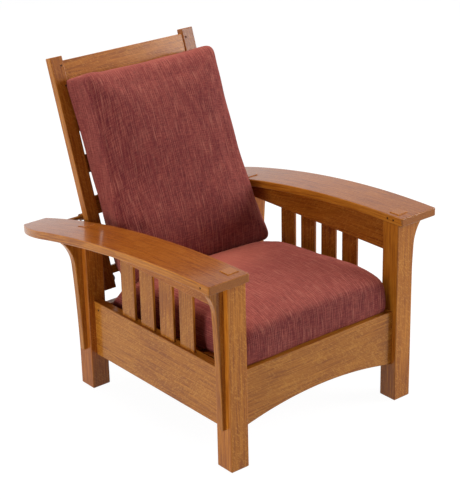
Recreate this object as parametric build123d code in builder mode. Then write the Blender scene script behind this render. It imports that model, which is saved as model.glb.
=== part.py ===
from build123d import *

import os
from math import atan2, cos, degrees, radians, sin, sqrt, tan

os.makedirs("parts", exist_ok=True)

# A mission reclining armchair in quarter-sawn oak, with a loose seat and back cushion.
# Millimetres. The chair faces -Y and +Z is up. The origin is on the floor, under the
# middle of the chair's box. Left and right are those of the picture: left is -X.

# Whole frame
post_side = 63.0
frame_width = 704.0
frame_depth = 740.0
edge_ease = 2.5
foot_ease = 3.0
overrun = 5.0

# Joinery
rail_tenon_depth = 20.0
tenon_thickness = 12.0
tenon_shoulder = 12.0
tenon_gap = 1.0
joint_clearance = 0.1
pin_diameter = 6.5
pin_stand = 0.6

# Arms: boards bent to one long arc, wide in front and narrow behind
arm_height = 599.0
arm_radius = 3730.0
arm_thickness = 25.0
arm_width = 141.0
arm_belly = 6.0
arm_taper_length = 190.0
arm_end_width = 84.0
arm_taper_belly = 13.0
arm_front_overhang = 15.5
arm_rear_overhang = 250.0
arm_inner_overhang = 2.0
arm_ease = 3.0
arm_corner_radius = 5.0
top_tenon_side = 38.0
top_tenon_stand = 2.5
top_tenon_ease = 1.5
arm_pin_pitch = 24.0
arm_pin_bite = 30.0
arm_plug_setback = 19.7
arm_plug_depth = 12.0

# Corbels under the arms
corbel_thickness = 22.0
corbel_reach = 60.0
corbel_nose = 10.0
corbel_cove_reach = 41.0
corbel_cove_drop = 36.0
corbel_waist_reach = 25.0
corbel_waist_drop = 92.0
corbel_shin_reach = 19.0
corbel_shin_share = 0.35
corbel_foot_reach = 13.0
corbel_foot_height = 132.0
corbel_ease = 1.5

# Side rails and slats
side_rail_inset = 22.0
side_rail_thickness = 28.0
side_rail_bottom = 113.0
rail_top = 294.0
arm_rail_rear_width = 36.3
side_slat_count = 4
side_slat_width = 64.0
side_slat_thickness = 9.0
side_slat_pitch = 94.0
slat_tenon = 10.0
rail_plug_setback = 20.0
rail_plug_drop = 25.0
rail_plug_depth = 12.0

# Front and rear rails
front_rail_inset = 17.0
front_rail_thickness = 25.0
front_rail_bottom = 118.0
front_arch_rise = 35.0
rear_rail_inset = 27.0
rear_rail_thickness = 24.0
rear_rail_bottom = 113.0
rear_rail_top = 262.0

# Seat deck: slats on two runners, which lie on cleats
deck_fall = 48.0
deck_end_gap = 3.0
deck_side_gap = 3.0
deck_slat_count = 7
deck_slat_width = 60.0
deck_slat_thickness = 12.0
runner_width = 45.0
runner_thickness = 22.0
cleat_width = 30.0
cleat_thickness = 24.0
cleat_end_gap = 2.0
screw_diameter = 4.0
screw_head_diameter = 8.0
screw_head_height = 2.8
deck_screw_length = 28.0
cleat_screw_length = 44.0
cleat_screw_count = 4
cleat_screw_setback = 60.0

# Back frame, in its own leaning plane through the pivots
back_lean = 18.0
pivot_height = 327.0
pivot_setback = 16.5
pivot_gap = 16.0
stile_foot = 30.0
stile_length = 729.5
stile_width = 44.0
stile_depth = 27.0
stile_horn = 15.0
top_rail_width = 90.0
top_rail_thickness = 18.0
top_rail_inset = 4.0
back_slat_count = 4
back_slat_width = 57.0
back_slat_gap = 73.0
back_slat_thickness = 12.0
back_slat_inset = 7.0
back_foot_rail_rise = 44.0
back_foot_rail_width = 25.5
back_tenon_depth = 20.0
back_tenon_thickness = 8.0
back_pin_setback = 10.0
back_pin_edge = 14.0

# Pivot bolts and their spacers
bolt_diameter = 10.0
bolt_bite = 30.0
bolt_head_diameter = 20.0
bolt_head_height = 5.0
bolt_head_ease = 1.5
spacer_diameter = 34.0
running_clearance = 0.3
shaft_clearance = 0.1

# Adjusting pegs in the arms
peg_diameter = 12.7
peg_bite = 28.0
peg_reach = 62.0
peg_head_diameter = 22.0
peg_head_length = 14.0
peg_head_ease = 3.0
peg_hole_count = 4
recline_step = 8.2

# Cushions
cushion_clearance = 0.3
seat_cushion_side_gap = 9.0
seat_cushion_overhang = 21.0
seat_cushion_rear_gap = 9.8
seat_cushion_corner = 26.0
seat_base_insets = (9.0, 13.0, 16.0)
seat_base_rise = 40.0
seat_shoulder = 70.0
seat_crown = 77.0
seat_crown_shares = (0.43, 0.455, 0.98)
back_cushion_side_inset = 21.0
back_cushion_foot = 42.0
back_cushion_top_drop = 69.5
back_cushion_corner = 16.0
back_base_insets = (16.0, 16.0, 4.0)
back_base_rise = 80.0
back_shoulder = 104.0
back_crown = 50.0
back_crown_shares = (0.3, 0.11, 0.1)
base_steps = 3
cushion_draw = 5.0
cushion_bulge = 16.0
crown_steps = 8
quarter_turn = 90.0
crown_turn = 70.0
crown_softness = 1.5

# Places that follow from the sizes
overall_depth = arm_front_overhang + frame_depth + arm_rear_overhang
front_y = arm_front_overhang - overall_depth / 2
rear_y = front_y + frame_depth
post_outer = frame_width / 2
post_inner = post_outer - post_side
post_middle = post_outer - post_side / 2
front_post_back = front_y + post_side
rear_post_front = rear_y - post_side
arm_inner = post_inner - arm_inner_overhang
arm_front = front_y - arm_front_overhang
arm_rear = rear_y + arm_rear_overhang
arc_centre_z = arm_height - arm_radius
side_rail_middle = post_outer - side_rail_inset - side_rail_thickness / 2
side_rail_outer = post_outer - side_rail_inset
side_rail_inner = side_rail_outer - side_rail_thickness
side_tenon_inner = side_rail_middle - tenon_thickness / 2
cross_tenon_depth = side_tenon_inner - tenon_gap - post_inner
front_rail_back = front_y + front_rail_inset + front_rail_thickness
rear_rail_front = rear_y - rear_rail_inset - rear_rail_thickness
pivot_y = rear_y - pivot_setback
stile_outer = post_inner - pivot_gap
stile_inner = stile_outer - stile_width


def arm_z(y, drop):
    """Height of the surface that lies drop below the top face of an arm, at y."""
    return arc_centre_z + sqrt((arm_radius - drop) ** 2 - (y - front_y) ** 2)


def arm_band(upper_drop, lower_drop):
    """Side view between two arcs that run with the arms, over their whole length."""
    start, end = arm_front - overrun, arm_rear + overrun
    middle = (start + end) / 2
    with BuildSketch(Plane.YZ) as band:
        with BuildLine():
            ThreePointArc(*[(y, arm_z(y, upper_drop)) for y in (start, middle, end)])
            Line((end, arm_z(end, upper_drop)), (end, arm_z(end, lower_drop)))
            ThreePointArc(*[(y, arm_z(y, lower_drop)) for y in (end, middle, start)])
            Line((start, arm_z(start, lower_drop)), (start, arm_z(start, upper_drop)))
        make_face()
    return band.sketch


arm_rail_bottom = arm_z(rear_post_front, arm_thickness) - arm_rail_rear_width
over_arm_underside = arm_band(-2 * post_side, arm_thickness)
over_top_tenon = arm_band(-2 * post_side, -top_tenon_stand)


def deliver(piece, label):
    """Label a finished piece and write it to its own file."""
    piece.part.label = label
    export_step(piece.part, f"parts/{label}.step")


def sides():
    """The two sides of the chair, with the sign of X on each."""
    return (("left", -1), ("right", 1))


# The deck's plane: its origin is on the front rail's inner top edge, Y runs back and down
deck_run = rear_rail_front - front_rail_back
deck_angle = degrees(atan2(deck_fall, deck_run))
deck_length = sqrt(deck_run ** 2 + deck_fall ** 2)
deck_plane = Plane(
    origin=(0, front_rail_back, rail_top),
    x_dir=(1, 0, 0),
    z_dir=(0, sin(radians(deck_angle)), cos(radians(deck_angle))),
)
deck_half_width = post_inner - deck_side_gap

# The back's plane: its origin is on the pivot line, Y runs up the stiles, Z points forward
back_plane = Plane(
    origin=(0, pivot_y, pivot_height),
    x_dir=(1, 0, 0),
    z_dir=(0, -cos(radians(back_lean)), sin(radians(back_lean))),
)
back_front = stile_depth / 2
stile_top = stile_length - stile_foot


def peg_place(lean):
    """Y and Z of a peg that holds the back at this lean, in the middle of the arm's thickness."""
    up = (sin(radians(lean)), cos(radians(lean)))
    behind = (cos(radians(lean)), -sin(radians(lean)))
    offset = stile_depth / 2 + peg_diameter / 2 + running_clearance
    start_y = pivot_y - front_y + behind[0] * offset
    start_z = pivot_height - arc_centre_z + behind[1] * offset
    along = start_y * up[0] + start_z * up[1]
    radius = arm_radius - arm_thickness / 2
    climb = sqrt(along ** 2 - start_y ** 2 - start_z ** 2 + radius ** 2) - along
    return (front_y + start_y + climb * up[0], arc_centre_z + start_z + climb * up[1])


peg_holes = [peg_place(back_lean + step * recline_step) for step in range(peg_hole_count)]

# Posts

post_rows = (("front", front_y + post_side / 2), ("rear", rear_y - post_side / 2))


def arm_pin_places(middle_y):
    """Y and Z of the two pins that lock a post's tenon in the arm."""
    places = [middle_y - arm_pin_pitch / 2, middle_y + arm_pin_pitch / 2]
    return [(y, arm_z(y, arm_thickness / 2)) for y in places]


for row, middle_y in post_rows:
    inward = 1 if row == "front" else -1
    inner_face_y = middle_y + inward * post_side / 2
    if row == "front":
        cross_y = front_y + front_rail_inset + front_rail_thickness / 2
        cross_bottom, cross_top = front_rail_bottom, rail_top
    else:
        cross_y = rear_rail_front + rear_rail_thickness / 2
        cross_bottom, cross_top = rear_rail_bottom, rear_rail_top
    for side, sign in sides():
        with BuildPart() as post:
            with BuildSketch() as section:
                with Locations((post_middle, middle_y)):
                    Rectangle(post_side, post_side)
                fillet(section.vertices(), edge_ease)
            extrude(amount=arm_height)
            chamfer(post.faces().sort_by(Axis.Z)[0].edges(), foot_ease, edge_ease)
            extrude(over_arm_underside, amount=frame_width, mode=Mode.SUBTRACT)
            # Through tenon on top
            tenon_root = arm_z(middle_y, arm_thickness) - post_side / 2
            with BuildSketch(Plane.XY.offset(tenon_root)):
                with Locations((post_middle, middle_y)):
                    Rectangle(top_tenon_side, top_tenon_side)
            extrude(amount=post_side + arm_thickness)
            extrude(over_top_tenon, amount=frame_width, mode=Mode.SUBTRACT)
            chamfer(post.faces().sort_by(Axis.Z)[-1].edges(), top_tenon_ease)
            # Mortises for the side rail, the rail under the arm and the front or rear rail
            pocket = rail_tenon_depth + joint_clearance
            pocket_y = inner_face_y - inward * pocket / 2
            low, high = side_rail_bottom + tenon_shoulder, rail_top - tenon_shoulder
            with Locations((side_rail_middle, pocket_y, (low + high) / 2)):
                Box(tenon_thickness + 2 * joint_clearance, pocket, high - low + 2 * joint_clearance,
                    mode=Mode.SUBTRACT)
            low = arm_rail_bottom + tenon_shoulder
            high = arm_z(inner_face_y, arm_thickness) - tenon_shoulder
            with Locations((side_rail_middle, pocket_y, (low + high) / 2)):
                Box(tenon_thickness + 2 * joint_clearance, pocket, high - low + 2 * joint_clearance,
                    mode=Mode.SUBTRACT)
            low, high = cross_bottom + tenon_shoulder, cross_top - tenon_shoulder
            pocket = cross_tenon_depth + joint_clearance
            with Locations((post_inner + pocket / 2, cross_y, (low + high) / 2)):
                Box(pocket, tenon_thickness + 2 * joint_clearance, high - low + 2 * joint_clearance,
                    mode=Mode.SUBTRACT)
            # Holes for the tenon's pins
            for pin_y, pin_z in arm_pin_places(middle_y):
                with BuildSketch(Plane.YZ.offset(arm_inner)):
                    with Locations((pin_y, pin_z)):
                        Circle(pin_diameter / 2)
                extrude(amount=post_middle - arm_inner + arm_pin_bite / 2, mode=Mode.SUBTRACT)
            if row == "rear":
                with BuildSketch(Plane.YZ.offset(post_inner)):
                    with Locations((pivot_y, pivot_height)):
                        Circle(bolt_diameter / 2)
                extrude(amount=bolt_bite, mode=Mode.SUBTRACT)
            if sign < 0:
                mirror(about=Plane.YZ, mode=Mode.REPLACE)
        deliver(post, f"{row}_post_{side}")

# Arms

arm_outer = arm_inner + arm_width
arm_taper_start = arm_rear - arm_taper_length
belly_middle = (arm_front + arm_taper_start) / 2
taper_middle = (arm_taper_start + arm_rear) / 2
taper_chord = (arm_outer + arm_inner + arm_end_width) / 2
arm_plug_y = front_y + arm_plug_setback
arm_plug_place = (arm_plug_y, arm_z(arm_plug_y, arm_thickness / 2))

for side, sign in sides():
    with BuildPart() as arm:
        with BuildSketch() as plan:
            with BuildLine():
                Line((arm_inner, arm_rear), (arm_inner, arm_front))
                Line((arm_inner, arm_front), (arm_outer, arm_front))
                ThreePointArc(
                    (arm_outer, arm_front),
                    (arm_outer + arm_belly, belly_middle),
                    (arm_outer, arm_taper_start),
                )
                ThreePointArc(
                    (arm_outer, arm_taper_start),
                    (taper_chord + arm_taper_belly, taper_middle),
                    (arm_inner + arm_end_width, arm_rear),
                )
                Line((arm_inner + arm_end_width, arm_rear), (arm_inner, arm_rear))
            make_face()
            corners = plan.vertices().filter_by(lambda v: v.Y < arm_front + 1 or v.Y > arm_rear - 1)
            fillet(corners, arm_corner_radius)
        extrude(amount=arm_height + post_side)
        extrude(arm_band(0, arm_thickness), amount=frame_width, mode=Mode.INTERSECT)
        long_edges = arm.edges().filter_by(lambda e: e.length > arm_thickness + arm_corner_radius)
        fillet(long_edges, arm_ease)
        for _, middle_y in post_rows:
            with Locations((post_middle, middle_y, arm_z(middle_y, arm_thickness / 2))):
                Box(top_tenon_side, top_tenon_side, 2 * post_side, mode=Mode.SUBTRACT)
            for pin_y, pin_z in arm_pin_places(middle_y):
                with BuildSketch(Plane.YZ.offset(arm_inner)):
                    with Locations((pin_y, pin_z)):
                        Circle(pin_diameter / 2)
                extrude(amount=post_middle - arm_inner, mode=Mode.SUBTRACT)
        for hole_y, hole_z in peg_holes:
            with BuildSketch(Plane.YZ.offset(arm_inner)):
                with Locations((hole_y, hole_z)):
                    Circle(peg_diameter / 2 + shaft_clearance)
            extrude(amount=peg_bite + 2 * running_clearance, mode=Mode.SUBTRACT)
        with BuildSketch(Plane.YZ.offset(arm_outer - arm_plug_depth)):
            with Locations(arm_plug_place):
                Circle(pin_diameter / 2)
        extrude(amount=arm_plug_depth + overrun, mode=Mode.SUBTRACT)
        if sign < 0:
            mirror(about=Plane.YZ, mode=Mode.REPLACE)
    deliver(arm, f"arm_{side}")

with BuildPart() as arm_pins:
    for _, middle_y in post_rows:
        for pin_y, pin_z in arm_pin_places(middle_y):
            with BuildSketch(Plane.YZ.offset(arm_inner - pin_stand)):
                with Locations((pin_y, pin_z)):
                    Circle(pin_diameter / 2)
            extrude(amount=pin_stand + post_middle - arm_inner + arm_pin_bite / 2)
    mirror(about=Plane.YZ)
deliver(arm_pins, "arm_tenon_pins")

with BuildPart() as arm_plugs:
    with BuildSketch(Plane.YZ.offset(arm_outer - arm_plug_depth)):
        with Locations(arm_plug_place):
            Circle(pin_diameter / 2)
    extrude(amount=arm_plug_depth + pin_stand)
    mirror(about=Plane.YZ)
deliver(arm_plugs, "arm_edge_plugs")

# Corbels

for row, middle_y in post_rows:
    corbel_top = arm_z(middle_y, arm_thickness)

    def corbel_point(reach, drop):
        """A point of the profile: reach from the post's face, drop below the arm."""
        return (post_outer + reach, corbel_top - drop)

    for side, sign in sides():
        with BuildPart() as corbel:
            leg_below_waist = corbel_top - corbel_waist_drop - corbel_foot_height
            shin_drop = corbel_waist_drop + corbel_shin_share * leg_below_waist
            with BuildSketch(Plane.XZ.offset(-middle_y)):
                with BuildLine():
                    head = corbel_point(corbel_reach, -corbel_nose)
                    nose = corbel_point(corbel_reach, corbel_nose)
                    waist = corbel_point(corbel_waist_reach, corbel_waist_drop)
                    foot = (post_outer + corbel_foot_reach, corbel_foot_height)
                    Line(corbel_point(0, -corbel_nose), head)
                    Line(head, nose)
                    ThreePointArc(nose, corbel_point(corbel_cove_reach, corbel_cove_drop), waist)
                    ThreePointArc(waist, corbel_point(corbel_shin_reach, shin_drop), foot)
                    Line(foot, (post_outer, corbel_foot_height))
                    Line((post_outer, corbel_foot_height), corbel_point(0, -corbel_nose))
                make_face()
            extrude(amount=corbel_thickness / 2, both=True)
            outer_edges = corbel.edges().filter_by(
                lambda e: e.center().X > post_outer + corbel_foot_reach / 2
                and e.center().Z < corbel_top and e.length > corbel_thickness
            )
            chamfer(outer_edges, corbel_ease)
            extrude(over_arm_underside, amount=frame_width, mode=Mode.SUBTRACT)
            if sign < 0:
                mirror(about=Plane.YZ, mode=Mode.REPLACE)
        deliver(corbel, f"{row}_corbel_{side}")

# Side rails, the rails under the arms, and the slats between them

side_middle_y = (front_post_back + rear_post_front) / 2
side_span = rear_post_front - front_post_back
first_slat_y = side_middle_y - (side_slat_count - 1) / 2 * side_slat_pitch
slat_places = [first_slat_y + number * side_slat_pitch for number in range(side_slat_count)]


# Places on the seat's deck, whose cleats are screwed to the side rails

deck_start, deck_end = deck_end_gap, deck_length - deck_end_gap
slat_step = (deck_end - deck_start - deck_slat_width) / (deck_slat_count - 1)
deck_slat_places = [deck_start + deck_slat_width / 2 + step * slat_step for step in range(deck_slat_count)]
runner_middle = deck_half_width - runner_width / 2
cleat_length = (rear_post_front - front_post_back) / cos(radians(deck_angle)) - 2 * cleat_end_gap
cleat_inner = side_rail_inner - cleat_width
cleat_drop = deck_slat_thickness + runner_thickness + cleat_thickness / 2
cleat_middle = (side_middle_y - front_rail_back) / cos(radians(deck_angle))
cleat_middle += cleat_drop * tan(radians(deck_angle))
cleat_screw_step = (cleat_length - 2 * cleat_screw_setback) / (cleat_screw_count - 1)
cleat_screw_places = [
    cleat_middle - cleat_length / 2 + cleat_screw_setback + step * cleat_screw_step
    for step in range(cleat_screw_count)
]


def screw_profile(length):
    """Half outline of a countersunk screw that points along -Y of its plane, head at zero."""
    with BuildSketch() as half:
        with BuildLine():
            Polyline(
                (0, 0),
                (screw_head_diameter / 2, 0),
                (screw_diameter / 2, -screw_head_height),
                (screw_diameter / 2, -length),
                (0, -length),
                close=True,
            )
        make_face()
    return half.sketch


with BuildPart() as deck_screw:
    revolve(screw_profile(deck_screw_length), axis=Axis.Y)
with BuildPart() as cleat_screw:
    revolve(screw_profile(cleat_screw_length), axis=Axis.Y)

# A screw's axis is its own Y: these planes turn that axis out of the deck, and out of the rails
deck_screw_spots = [
    deck_plane * Location((sign * runner_middle, place, 0), (90, 0, 0))
    for sign in (-1, 1) for place in deck_slat_places
]
cleat_screw_spots = [
    deck_plane * Location((sign * cleat_inner, place, -cleat_drop), (0, 0, sign * 90))
    for sign in (-1, 1) for place in cleat_screw_places
]


def slat_mortises(top_of_pocket):
    """Pockets for the slats' ends, cut down from a height in the part that is being made."""
    depth = slat_tenon + joint_clearance
    for slat_y in slat_places:
        centre = (side_rail_middle, slat_y, top_of_pocket - depth / 2)
        yield centre, depth


for side, sign in sides():
    with BuildPart() as side_rail:
        rail_height = rail_top - side_rail_bottom
        with Locations((side_rail_middle, side_middle_y, (rail_top + side_rail_bottom) / 2)):
            Box(side_rail_thickness, side_span, rail_height)
        chamfer(side_rail.edges().filter_by(Axis.Y), edge_ease / 2)
        with Locations((side_rail_middle, side_middle_y, (rail_top + side_rail_bottom) / 2)):
            Box(tenon_thickness, side_span + 2 * rail_tenon_depth, rail_height - 2 * tenon_shoulder)
        for centre, depth in slat_mortises(rail_top):
            with Locations(centre):
                Box(side_slat_thickness + 2 * joint_clearance, side_slat_width + 2 * joint_clearance, depth,
                    mode=Mode.SUBTRACT)
        plug_y = rear_post_front - rail_plug_setback
        with BuildSketch(Plane.YZ.offset(side_rail_outer - rail_plug_depth)):
            with Locations((plug_y, rail_top - rail_plug_drop)):
                Circle(pin_diameter / 2)
        extrude(amount=rail_plug_depth, mode=Mode.SUBTRACT)
        with Locations(*cleat_screw_spots):
            add(cleat_screw.part, mode=Mode.SUBTRACT)
        if sign < 0:
            mirror(about=Plane.YZ, mode=Mode.REPLACE)
    deliver(side_rail, f"side_rail_{side}")

    with BuildPart() as arm_rail:
        with Locations((side_rail_middle, side_middle_y, (arm_height + arm_rail_bottom) / 2)):
            Box(side_rail_thickness, side_span, arm_height - arm_rail_bottom)
        chamfer(arm_rail.faces().sort_by(Axis.Z)[0].edges().filter_by(Axis.Y), edge_ease / 2)
        extrude(over_arm_underside, amount=frame_width, mode=Mode.SUBTRACT)
        for end_y, outward in ((front_post_back, -1), (rear_post_front, 1)):
            low = arm_rail_bottom + tenon_shoulder
            high = arm_z(end_y, arm_thickness) - tenon_shoulder
            with Locations((side_rail_middle, end_y + outward * rail_tenon_depth / 2, (low + high) / 2)):
                Box(tenon_thickness, rail_tenon_depth, high - low)
        for centre, depth in slat_mortises(arm_rail_bottom + slat_tenon + joint_clearance):
            with Locations(centre):
                Box(side_slat_thickness + 2 * joint_clearance, side_slat_width + 2 * joint_clearance, depth,
                    mode=Mode.SUBTRACT)
        if sign < 0:
            mirror(about=Plane.YZ, mode=Mode.REPLACE)
    deliver(arm_rail, f"arm_rail_{side}")

    for number, slat_y in enumerate(slat_places, start=1):
        with BuildPart() as side_slat:
            with BuildSketch(Plane.XY.offset(rail_top - slat_tenon)) as section:
                with Locations((sign * side_rail_middle, slat_y)):
                    Rectangle(side_slat_thickness, side_slat_width)
                chamfer(section.vertices(), edge_ease / 2)
            extrude(amount=arm_rail_bottom - rail_top + 2 * slat_tenon)
        deliver(side_slat, f"side_slat_{side}_{number}")

with BuildPart() as rail_plugs:
    with BuildSketch(Plane.YZ.offset(side_rail_outer - rail_plug_depth)):
        with Locations((rear_post_front - rail_plug_setback, rail_top - rail_plug_drop)):
            Circle(pin_diameter / 2)
    extrude(amount=rail_plug_depth + pin_stand)
    mirror(about=Plane.YZ)
deliver(rail_plugs, "side_rail_plugs")

# Front and rear rails

with BuildPart() as front_rail:
    rail_span = 2 * post_inner
    front_rail_y = front_y + front_rail_inset + front_rail_thickness / 2
    with BuildSketch(Plane.XZ.offset(-front_rail_y)):
        with BuildLine():
            Line((-post_inner, front_rail_bottom), (-post_inner, rail_top))
            Line((-post_inner, rail_top), (post_inner, rail_top))
            Line((post_inner, rail_top), (post_inner, front_rail_bottom))
            ThreePointArc(
                (post_inner, front_rail_bottom),
                (0, front_rail_bottom + front_arch_rise),
                (-post_inner, front_rail_bottom),
            )
        make_face()
    extrude(amount=front_rail_thickness / 2, both=True)
    chamfer(front_rail.edges().filter_by(lambda e: e.length > rail_span / 2), edge_ease / 2)
    front_tenon_height = rail_top - front_rail_bottom - 2 * tenon_shoulder
    for sign in (-1, 1):
        tenon_x = sign * (post_inner + cross_tenon_depth / 2)
        with Locations((tenon_x, front_rail_y, (rail_top + front_rail_bottom) / 2)):
            Box(cross_tenon_depth, tenon_thickness, front_tenon_height)
deliver(front_rail, "front_rail")

with BuildPart() as rear_rail:
    rear_rail_y = rear_rail_front + rear_rail_thickness / 2
    rear_rail_height = rear_rail_top - rear_rail_bottom
    with Locations((0, rear_rail_y, (rear_rail_top + rear_rail_bottom) / 2)):
        Box(2 * post_inner, rear_rail_thickness, rear_rail_height)
    chamfer(rear_rail.edges().filter_by(Axis.X), edge_ease / 2)
    with Locations((0, rear_rail_y, (rear_rail_top + rear_rail_bottom) / 2)):
        Box(2 * (post_inner + cross_tenon_depth), tenon_thickness, rear_rail_height - 2 * tenon_shoulder)
deliver(rear_rail, "rear_rail")

# Seat deck

for number, place in enumerate(deck_slat_places, start=1):
    with BuildPart() as deck_slat:
        with BuildSketch(deck_plane) as outline:
            with Locations((0, place)):
                Rectangle(2 * deck_half_width, deck_slat_width)
        extrude(amount=-deck_slat_thickness)
        chamfer(deck_slat.edges().filter_by(Axis.X), edge_ease / 2)
        with Locations(*deck_screw_spots):
            add(deck_screw.part, mode=Mode.SUBTRACT)
    deliver(deck_slat, f"seat_slat_{number}")

for side, sign in sides():
    with BuildPart() as runner:
        with BuildSketch(deck_plane.offset(-deck_slat_thickness)):
            with Locations((sign * runner_middle, deck_length / 2)):
                Rectangle(runner_width, deck_end - deck_start)
        extrude(amount=-runner_thickness)
        with Locations(*deck_screw_spots):
            add(deck_screw.part, mode=Mode.SUBTRACT)
    deliver(runner, f"seat_runner_{side}")

    with BuildPart() as cleat:
        with BuildSketch(deck_plane.offset(-deck_slat_thickness - runner_thickness)):
            with Locations((sign * (side_rail_inner - cleat_width / 2), cleat_middle)):
                Rectangle(cleat_width, cleat_length)
        extrude(amount=-cleat_thickness)
        with Locations(*cleat_screw_spots):
            add(cleat_screw.part, mode=Mode.SUBTRACT)
    deliver(cleat, f"seat_cleat_{side}")

with BuildPart() as deck_screws:
    with Locations(*deck_screw_spots):
        add(deck_screw.part)
deliver(deck_screws, "seat_slat_screws")

with BuildPart() as cleat_screws:
    with Locations(*cleat_screw_spots):
        add(cleat_screw.part)
deliver(cleat_screws, "seat_cleat_screws")

# Back frame

top_rail_high = stile_top - stile_horn
top_rail_low = top_rail_high - top_rail_width
top_slat_high = top_rail_low - back_slat_gap
foot_rail_low = back_foot_rail_rise - stile_foot
foot_rail_high = foot_rail_low + back_foot_rail_width
back_rail_rows = [("back_top_rail", top_rail_low, top_rail_high, top_rail_inset, top_rail_thickness)]
for number in range(back_slat_count):
    high = top_slat_high - number * (back_slat_width + back_slat_gap)
    label = f"back_slat_{back_slat_count - number}"
    back_rail_rows.append((label, high - back_slat_width, high, back_slat_inset, back_slat_thickness))
back_rail_rows.append(("back_foot_rail", foot_rail_low, foot_rail_high, top_rail_inset, top_rail_thickness))


def back_tenon_size(low, high):
    """Height of a back rail's tenon: shallow rails keep half their width."""
    return max((high - low) / 2, high - low - 2 * tenon_shoulder)


top_pin_heights = [top_rail_high - back_pin_edge, top_rail_low + back_pin_edge]

for label, low, high, inset, thickness in back_rail_rows:
    front = back_front - inset
    middle = (low + high) / 2
    with BuildPart() as back_rail:
        with BuildSketch(back_plane.offset(front - thickness)):
            with Locations((0, middle)):
                Rectangle(2 * stile_inner, high - low)
        extrude(amount=thickness)
        chamfer(back_rail.edges().filter_by(Axis.X), edge_ease / 2)
        with BuildSketch(back_plane.offset(front - thickness / 2 - back_tenon_thickness / 2)):
            with Locations((0, middle)):
                Rectangle(2 * (stile_inner + back_tenon_depth), back_tenon_size(low, high))
        extrude(amount=back_tenon_thickness)
        if label == "back_top_rail":
            for pin_height in top_pin_heights:
                with BuildSketch(back_plane.offset(back_front)):
                    with Locations((-stile_inner - back_pin_setback, pin_height),
                                   (stile_inner + back_pin_setback, pin_height)):
                        Circle(pin_diameter / 2)
                extrude(amount=-stile_depth, mode=Mode.SUBTRACT)
    deliver(back_rail, label)

for side, sign in sides():
    with BuildPart() as stile:
        with BuildSketch(back_plane.offset(-back_front)) as section:
            with Locations((sign * (stile_inner + stile_width / 2), stile_top - stile_length / 2)):
                Rectangle(stile_width, stile_length)
        extrude(amount=stile_depth)
        fillet(stile.edges(), edge_ease)
        for label, low, high, inset, thickness in back_rail_rows:
            pocket = back_tenon_depth + joint_clearance
            width = back_tenon_thickness + 2 * joint_clearance
            with BuildSketch(back_plane.offset(back_front - inset - thickness / 2 - width / 2)):
                with Locations((sign * (stile_inner + pocket / 2), (low + high) / 2)):
                    Rectangle(pocket, back_tenon_size(low, high) + 2 * joint_clearance)
            extrude(amount=width, mode=Mode.SUBTRACT)
        for pin_height in top_pin_heights:
            with BuildSketch(back_plane.offset(back_front)):
                with Locations((sign * (stile_inner + back_pin_setback), pin_height)):
                    Circle(pin_diameter / 2)
            extrude(amount=-stile_depth + edge_ease, mode=Mode.SUBTRACT)
        with BuildSketch(Plane.YZ.offset(sign * (stile_inner - overrun))):
            with Locations((pivot_y, pivot_height)):
                Circle(bolt_diameter / 2 + shaft_clearance)
        extrude(amount=sign * (stile_width + 2 * overrun), mode=Mode.SUBTRACT)
    deliver(stile, f"back_stile_{side}")

with BuildPart() as top_rail_pins:
    for pin_height in top_pin_heights:
        with BuildSketch(back_plane.offset(back_front + pin_stand)):
            with Locations((-stile_inner - back_pin_setback, pin_height),
                           (stile_inner + back_pin_setback, pin_height)):
                Circle(pin_diameter / 2)
        extrude(amount=-stile_depth + edge_ease)
deliver(top_rail_pins, "back_top_rail_pins")

# Pivot bolts, spacers and adjusting pegs

for side, sign in sides():
    with BuildPart() as bolt:
        head_face = stile_inner - running_clearance
        with BuildSketch(Plane.YZ.offset(head_face - bolt_head_height)):
            with Locations((pivot_y, pivot_height)):
                Circle(bolt_head_diameter / 2)
        extrude(amount=bolt_head_height)
        fillet(bolt.faces().sort_by(Axis.X)[0].edges(), bolt_head_ease)
        with BuildSketch(Plane.YZ.offset(head_face)):
            with Locations((pivot_y, pivot_height)):
                Circle(bolt_diameter / 2)
        extrude(amount=post_inner + bolt_bite - head_face)
        if sign < 0:
            mirror(about=Plane.YZ, mode=Mode.REPLACE)
    deliver(bolt, f"pivot_bolt_{side}")

    with BuildPart() as spacer:
        with BuildSketch(Plane.YZ.offset(post_inner)):
            with Locations((pivot_y, pivot_height)):
                Circle(spacer_diameter / 2)
                Circle(bolt_diameter / 2, mode=Mode.SUBTRACT)
        extrude(amount=-pivot_gap + running_clearance)
        chamfer(spacer.faces().sort_by(Axis.X)[0].outer_wire().edges(), edge_ease / 2)
        if sign < 0:
            mirror(about=Plane.YZ, mode=Mode.REPLACE)
    deliver(spacer, f"pivot_spacer_{side}")

    with BuildPart() as peg:
        peg_y, peg_z = peg_holes[-1]
        shaft_end = arm_inner - peg_reach
        with BuildSketch(Plane.YZ.offset(shaft_end)):
            with Locations((peg_y, peg_z)):
                Circle(peg_diameter / 2)
        extrude(amount=peg_reach + peg_bite)
        chamfer(peg.faces().sort_by(Axis.X)[-1].edges(), edge_ease / 2)
        with BuildSketch(Plane.YZ.offset(shaft_end - peg_head_length)):
            with Locations((peg_y, peg_z)):
                Circle(peg_head_diameter / 2)
        extrude(amount=peg_head_length)
        fillet(peg.edges().filter_by(GeomType.CIRCLE).sort_by(Axis.X)[0], peg_head_ease)
        if sign < 0:
            mirror(about=Plane.YZ, mode=Mode.REPLACE)
    deliver(peg, f"adjusting_peg_{side}")

# Cushions: an outline with rounded corners and drawn-in sides, lofted up through a crown


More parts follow.
